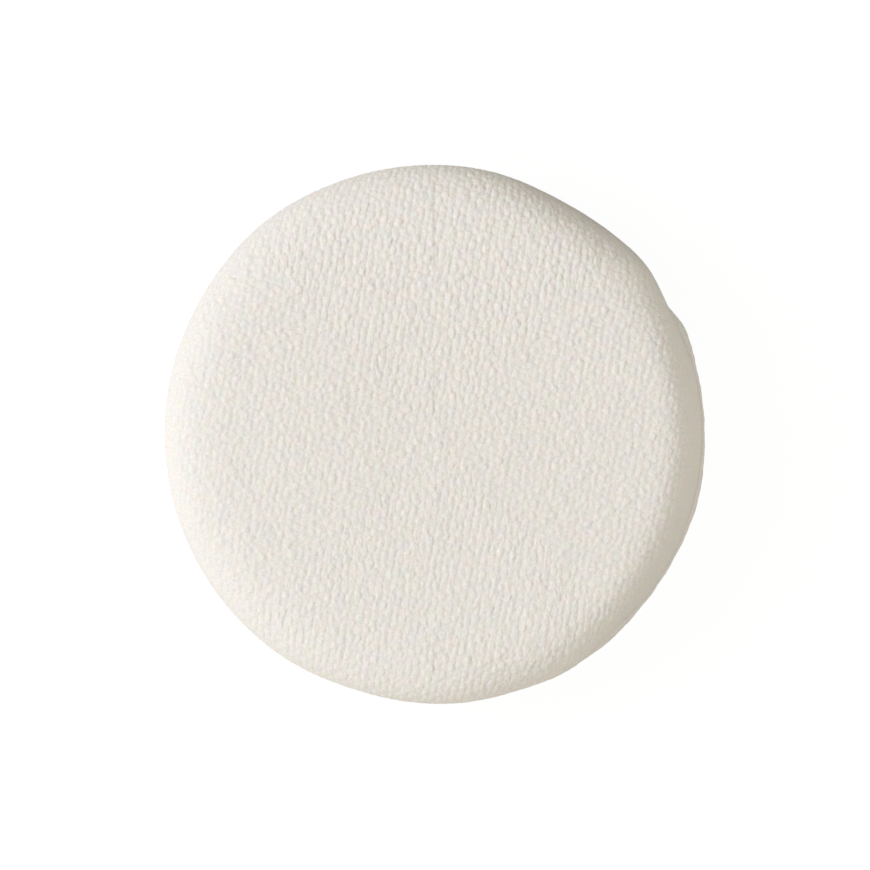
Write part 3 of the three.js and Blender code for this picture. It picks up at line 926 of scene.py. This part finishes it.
def thread_tube(name, route):
    """A closed tube of three twisted plies along a route, whose corners are cut off three times.

    Its sides are set out from a lean, outwards, along the seam and up, that no part of the route follows."""
    for _ in range(3):
        near, far = route[:-1], route[1:]
        cut = np.stack([0.75 * near + 0.25 * far, 0.25 * near + 0.75 * far], 1).reshape(-1, 3)
        route = np.concatenate([route[:1], cut, route[-1:]])
    length = np.r_[0, np.cumsum(np.linalg.norm(np.diff(route, axis=0), axis=1))]
    even = np.linspace(0, length[-1], int(length[-1] / THREAD_STEP))
    route = np.stack([np.interp(even, length, part) for part in route.T], -1)
    ahead = np.gradient(route, axis=0)
    ahead /= np.linalg.norm(ahead, axis=1, keepdims=True)
    around = np.arctan2(route[:, 1], route[:, 0])
    level_lean = (THREAD_LEAN[0] + 1j * THREAD_LEAN[1]) * np.exp(1j * around)
    lean = np.stack([level_lean.real, level_lean.imag, np.full_like(around, THREAD_LEAN[2])], -1)
    first = np.cross(ahead, lean)
    first /= np.linalg.norm(first, axis=1, keepdims=True)
    second = np.cross(ahead, first)
    turn = np.linspace(0, 2 * np.pi, THREAD_SIDES, endpoint=False)[None, :]
    plies = np.abs(np.cos(1.5 * (turn - 2 * np.pi * even[:, None] / PLY_LENGTH)))
    reach = (THREAD_RADIUS * (1 - PLY_DEPTH + PLY_DEPTH * plies))[..., None]
    spoke = np.cos(turn)[..., None] * first[:, None] + np.sin(turn)[..., None] * second[:, None]
    skin = route[:, None] + reach * spoke
    number = np.arange(skin[..., 0].size).reshape(skin.shape[:2])
    after = np.roll(number, -1, axis=1)
    sides = np.stack([number[:-1], after[:-1], after[1:], number[1:]], -1).reshape(-1, 4)
    faces = [sides, number[:1, ::-1], number[-1:]]
    return add_mesh(name, skin.reshape(-1, 3), faces, smooth=[True, False, False])


sewn_holes = range(CLOSING_HOLES[1] + 1, CLOSING_HOLES[0] + STITCH_COUNT)
loop_foot, loop_head = seam_height - loop_reach / 2, seam_height + loop_reach / 2
needle_steps = [
    (-loop_reach, 0, needle_top),
    (-loop_reach, 0, loop_foot),
    (loop_reach, 0, loop_foot),
    (loop_reach, 0, needle_top),
]
bobbin_steps = [
    (0, -loop_reach, bobbin_low),
    (0, -loop_reach, loop_head),
    (0, loop_reach, loop_head),
    (0, loop_reach, bobbin_low),
]
closed_holes = np.arange(CLOSING_HOLES[0], CLOSING_HOLES[1] + 1)
ladder = stitch_points(closed_holes, [(0, 0, needle_top), (0, 0, bobbin_low)]).reshape(-1, 2, 3)
ladder[1::2] = ladder[1::2, ::-1]
thread_routes = {
    "needle_thread": stitch_points(sewn_holes, needle_steps),
    "bobbin_thread": stitch_points(sewn_holes, bobbin_steps),
    "closing_thread": ladder.reshape(-1, 3),
}
THREAD_PALE = (0.86, 0.80, 0.71)
THREAD_DEEP = (0.66, 0.59, 0.49)
spun, spun_shade = new_material("spun_cotton")
spun_place = spun_shade.add("ShaderNodeTexCoord", None, None, 3)
lint = spun_shade.add("ShaderNodeTexNoise", None, {"Vector": spun_place, "Scale": 9000.0, "Detail": 2.0})
spun_surface = spun_shade.add(
    "ShaderNodeBsdfPrincipled",
    None,
    {"Base Color": lint.mix(THREAD_DEEP, THREAD_PALE), "Roughness": 0.75, "Sheen Weight": 0.3},
)
spun_shade.add("ShaderNodeOutputMaterial", None, {"Surface": spun_surface})
for thread_name, route in thread_routes.items():
    thread = thread_tube("spun_" + thread_name, route)
    thread.data.materials.append(spun)
    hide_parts(thread_name)
    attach(thread, "puff")

# Floor and light: a white floor, even light from all round with two darker sides, and one soft lamp on the
# left. Bounced light meets two darker spots painted on the floor, painted shade for the rims beside them,
# which the photograph has in shade. Bounced light also passes through the floor close to the puff, so that
# its underside isn't black from below.
SKY_LEVEL = 0.876
SKY_COLOUR = (1.0, 0.978, 0.845, 1)
SKY_SIDE = (0.22, -0.01)
SKY_DARK = (((0.48, 0.88, 0), 1.1), ((0.73, -0.68, 0), 0.65))
LAMP_FROM = (-0.81, 0.10, 0.58)
LAMP_AWAY = 1.6
LAMP_SIDE = 0.7
LAMP_WATTS = 14.6
LAMP_COLOUR = (0.86, 0.92, 1.0)
FLOOR_SIDE = 3.0
FLOOR_PAINT = (0.9, 0.9, 0.89, 1)
FLOOR_GLOW = 1.015
FLOOR_GLOW_SHARE = 0.94
FLOOR_BOUNCE = (0.91, 0.895, 0.83, 1)
FLOOR_SHADE_SPOTS = (
    ((27 * MM, 43 * MM, 0), (0.05, 0.047, 0.040, 1)),
    ((46 * MM, -40 * MM, 0), (0.50, 0.485, 0.440, 1)),
)
SHADE_SPOT_EDGE = (34 * MM, 20 * MM)
FLOOR_OPEN = (9 * MM, 5 * MM)
PICTURE_RAYS = ("Is Camera Ray", "Is Glossy Ray", "Is Transmission Ray")


def picture_rays(shade):
    """1 for what the camera sees, straight, mirrored or through something clear, and 0 for bounced light."""
    return sum((shade.add("ShaderNodeLightPath", None, None, ray) for ray in PICTURE_RAYS), 0)


world = bpy.data.worlds.new("studio")
bpy.context.scene.world = world
world.use_nodes = True
world.node_tree.nodes.clear()
sky = Shade(world.node_tree)
toward = sky.add("ShaderNodeTexCoord", None, None, 0)
east = sky.add("ShaderNodeSeparateXYZ", None, {0: toward}, 0)
north = sky.add("ShaderNodeSeparateXYZ", None, {0: toward}, 1)
sky_level = 1 + east * SKY_SIDE[0] + north * SKY_SIDE[1]
for way, depth in SKY_DARK:
    dark = sky.add("ShaderNodeVectorMath", {"operation": "DOT_PRODUCT"}, {0: toward, 1: way}, 1)
    dark = sky.add("ShaderNodeMath", {"operation": "MAXIMUM"}, {0: dark, 1: 0.0})
    sky_level = sky_level - dark * dark * dark * depth
sky_level = sky.add("ShaderNodeMath", {"operation": "MAXIMUM"}, {0: sky_level * SKY_LEVEL, 1: 0.0})
sky_light = sky.add("ShaderNodeBackground", None, {"Color": SKY_COLOUR, "Strength": sky_level})
sky_seen = sky.add("ShaderNodeBackground", None, {"Color": (1, 1, 1, 1), "Strength": 1.0})
sky_mix = sky.add("ShaderNodeMixShader", None, {0: picture_rays(sky), 1: sky_light, 2: sky_seen})
sky.add("ShaderNodeOutputWorld", None, {"Surface": sky_mix})

lamp = bpy.data.objects.new("window", bpy.data.lights.new("window", "AREA"))
lamp.data.energy = LAMP_WATTS
lamp.data.size = LAMP_SIDE
lamp.data.color = LAMP_COLOUR
lamp_way = Vector(LAMP_FROM).normalized()
lamp.location = lamp_way * LAMP_AWAY
lamp.rotation_mode = "QUATERNION"
lamp.rotation_quaternion = (-lamp_way).to_track_quat("-Z", "Y")
bpy.context.collection.objects.link(lamp)

floor_reach = FLOOR_SIDE / 2
floor = add_mesh(
    "floor",
    floor_reach * np.array([[-1, -1, 0], [1, -1, 0], [1, 1, 0], [-1, 1, 0]]),
    [np.array([[0, 1, 2, 3]])],
)
white, floor_shade = new_material("floor_white")
paint = floor_shade.add("ShaderNodeBsdfDiffuse", None, {"Color": FLOOR_PAINT})
glow = floor_shade.add("ShaderNodeEmission", None, {"Color": (1, 1, 1, 1), "Strength": FLOOR_GLOW})
floor_seen = floor_shade.add("ShaderNodeMixShader", None, {0: FLOOR_GLOW_SHARE, 1: paint, 2: glow})
bounce = floor_shade.add("ShaderNodeBsdfDiffuse", None, {"Color": FLOOR_BOUNCE})
floor_place = floor_shade.add("ShaderNodeTexCoord", None, None, 3)
# Each spot is painted shade in the light that the floor bounces onto the rim beside it.
for shade_spot_place, shade_spot_colour in FLOOR_SHADE_SPOTS:
    away = floor_shade.add(
        "ShaderNodeVectorMath", {"operation": "DISTANCE"}, {0: floor_place, 1: shade_spot_place}, 1
    )
    near = floor_shade.add("ShaderNodeMapRange", None, {0: away, 1: SHADE_SPOT_EDGE[0], 2: SHADE_SPOT_EDGE[1]})
    shade_spot = floor_shade.add("ShaderNodeBsdfDiffuse", None, {"Color": shade_spot_colour})
    bounce = floor_shade.add("ShaderNodeMixShader", None, {0: near, 1: bounce, 2: shade_spot})
clear = floor_shade.add("ShaderNodeBsdfTransparent", None, {"Color": (1, 1, 1, 1)})
ray_length = floor_shade.add("ShaderNodeLightPath", None, None, "Ray Length")
close = floor_shade.add("ShaderNodeMapRange", None, {0: ray_length, 1: FLOOR_OPEN[0], 2: FLOOR_OPEN[1]})
bounce = floor_shade.add("ShaderNodeMixShader", None, {0: close, 1: bounce, 2: clear})
seen = picture_rays(floor_shade)
upper = floor_shade.add("ShaderNodeMixShader", None, {0: seen, 1: bounce, 2: floor_seen})
under = floor_shade.add("ShaderNodeNewGeometry", None, None, 6)
cover = floor_shade.add("ShaderNodeMixShader", None, {0: under, 1: upper, 2: clear})
floor_shade.add("ShaderNodeOutputMaterial", None, {"Surface": cover})
floor.data.materials.append(white)

bpy.context.scene.view_settings.view_transform = "Standard"
